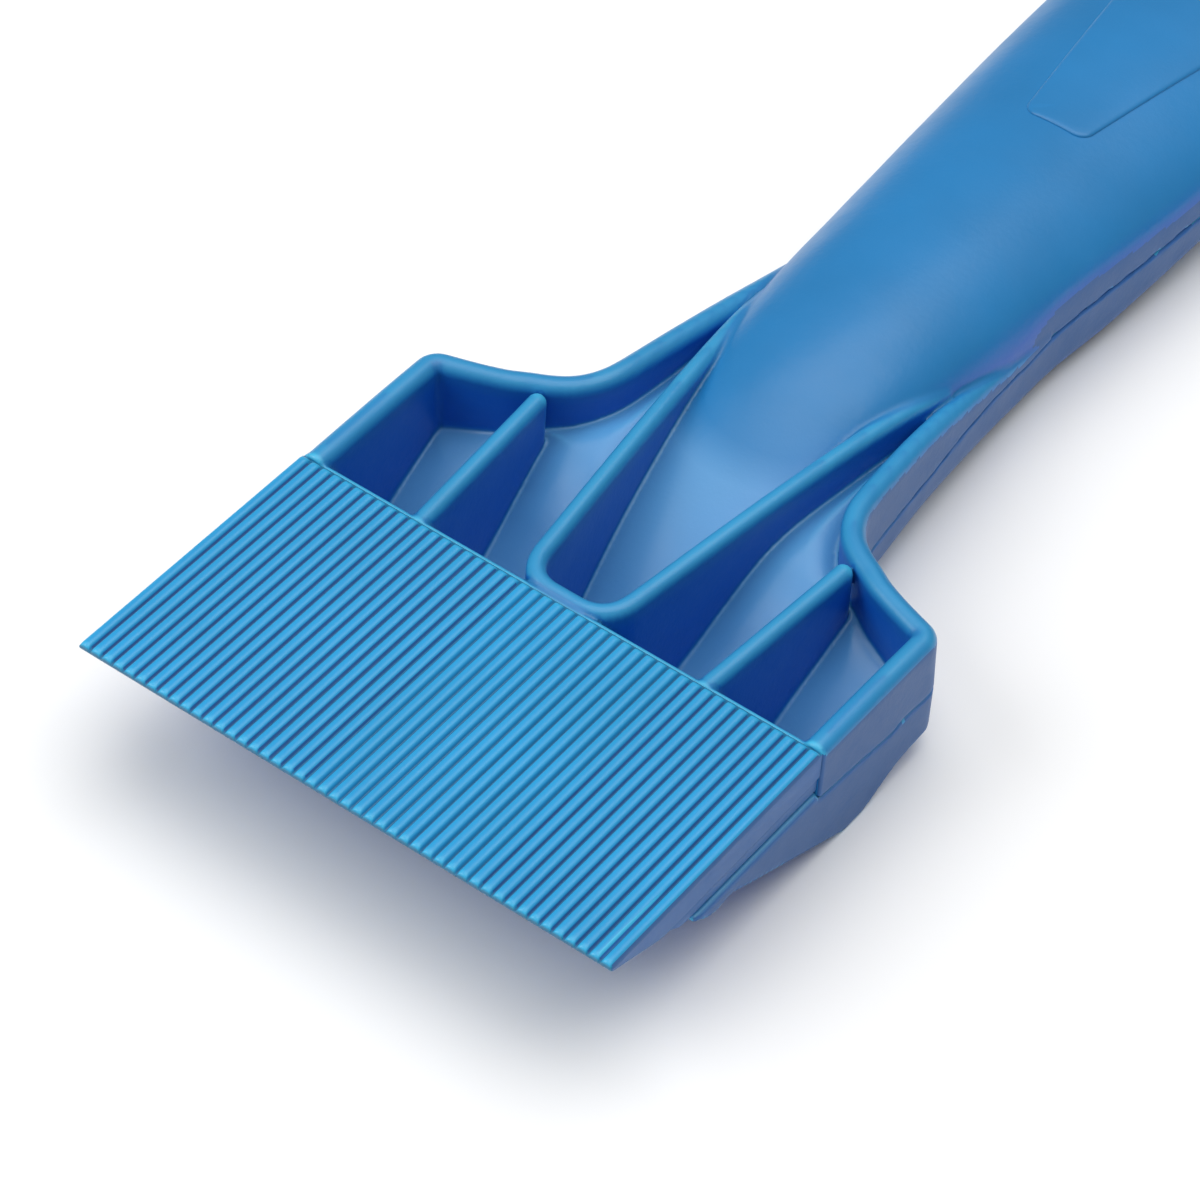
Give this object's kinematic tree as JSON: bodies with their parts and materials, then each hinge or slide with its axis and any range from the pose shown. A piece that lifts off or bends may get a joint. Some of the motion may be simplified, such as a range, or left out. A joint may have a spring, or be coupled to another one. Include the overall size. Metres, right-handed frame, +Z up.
{
  "type": "windshield ice scraper",
  "caption": "Hand-held windshield ice scraper: wide ribbed blade on an open ribbed head that narrows into a rounded grip with a hanging hole.",
  "frame": {"origin": "middle of the footprint on the resting surface, below the neck of the handle", "axes": "+X across the blade to the scraper's right seen from the grip looking over the blade's top, +Y from the cutting edge to the end of the grip, +Z up out of the ridged face"},
  "size_m": [0.1, 0.28, 0.0304],
  "materials": {
    "ribbed_blade": "semi-gloss moulded polypropylene with fine ridges",
    "blade_carrier": "semi-gloss moulded polypropylene",
    "upper_shell": "semi-gloss moulded polypropylene",
    "lower_shell": "semi-gloss moulded polypropylene",
    "label_plate": "semi-gloss moulded polypropylene, blank"
  },
  "bodies": {
    "root": {"ribbed_blade": "ribbed_blade", "blade_carrier": "blade_carrier", "upper_shell": "upper_shell", "lower_shell": "lower_shell", "label_plate": "label_plate"}
  },
  "joints": []
}
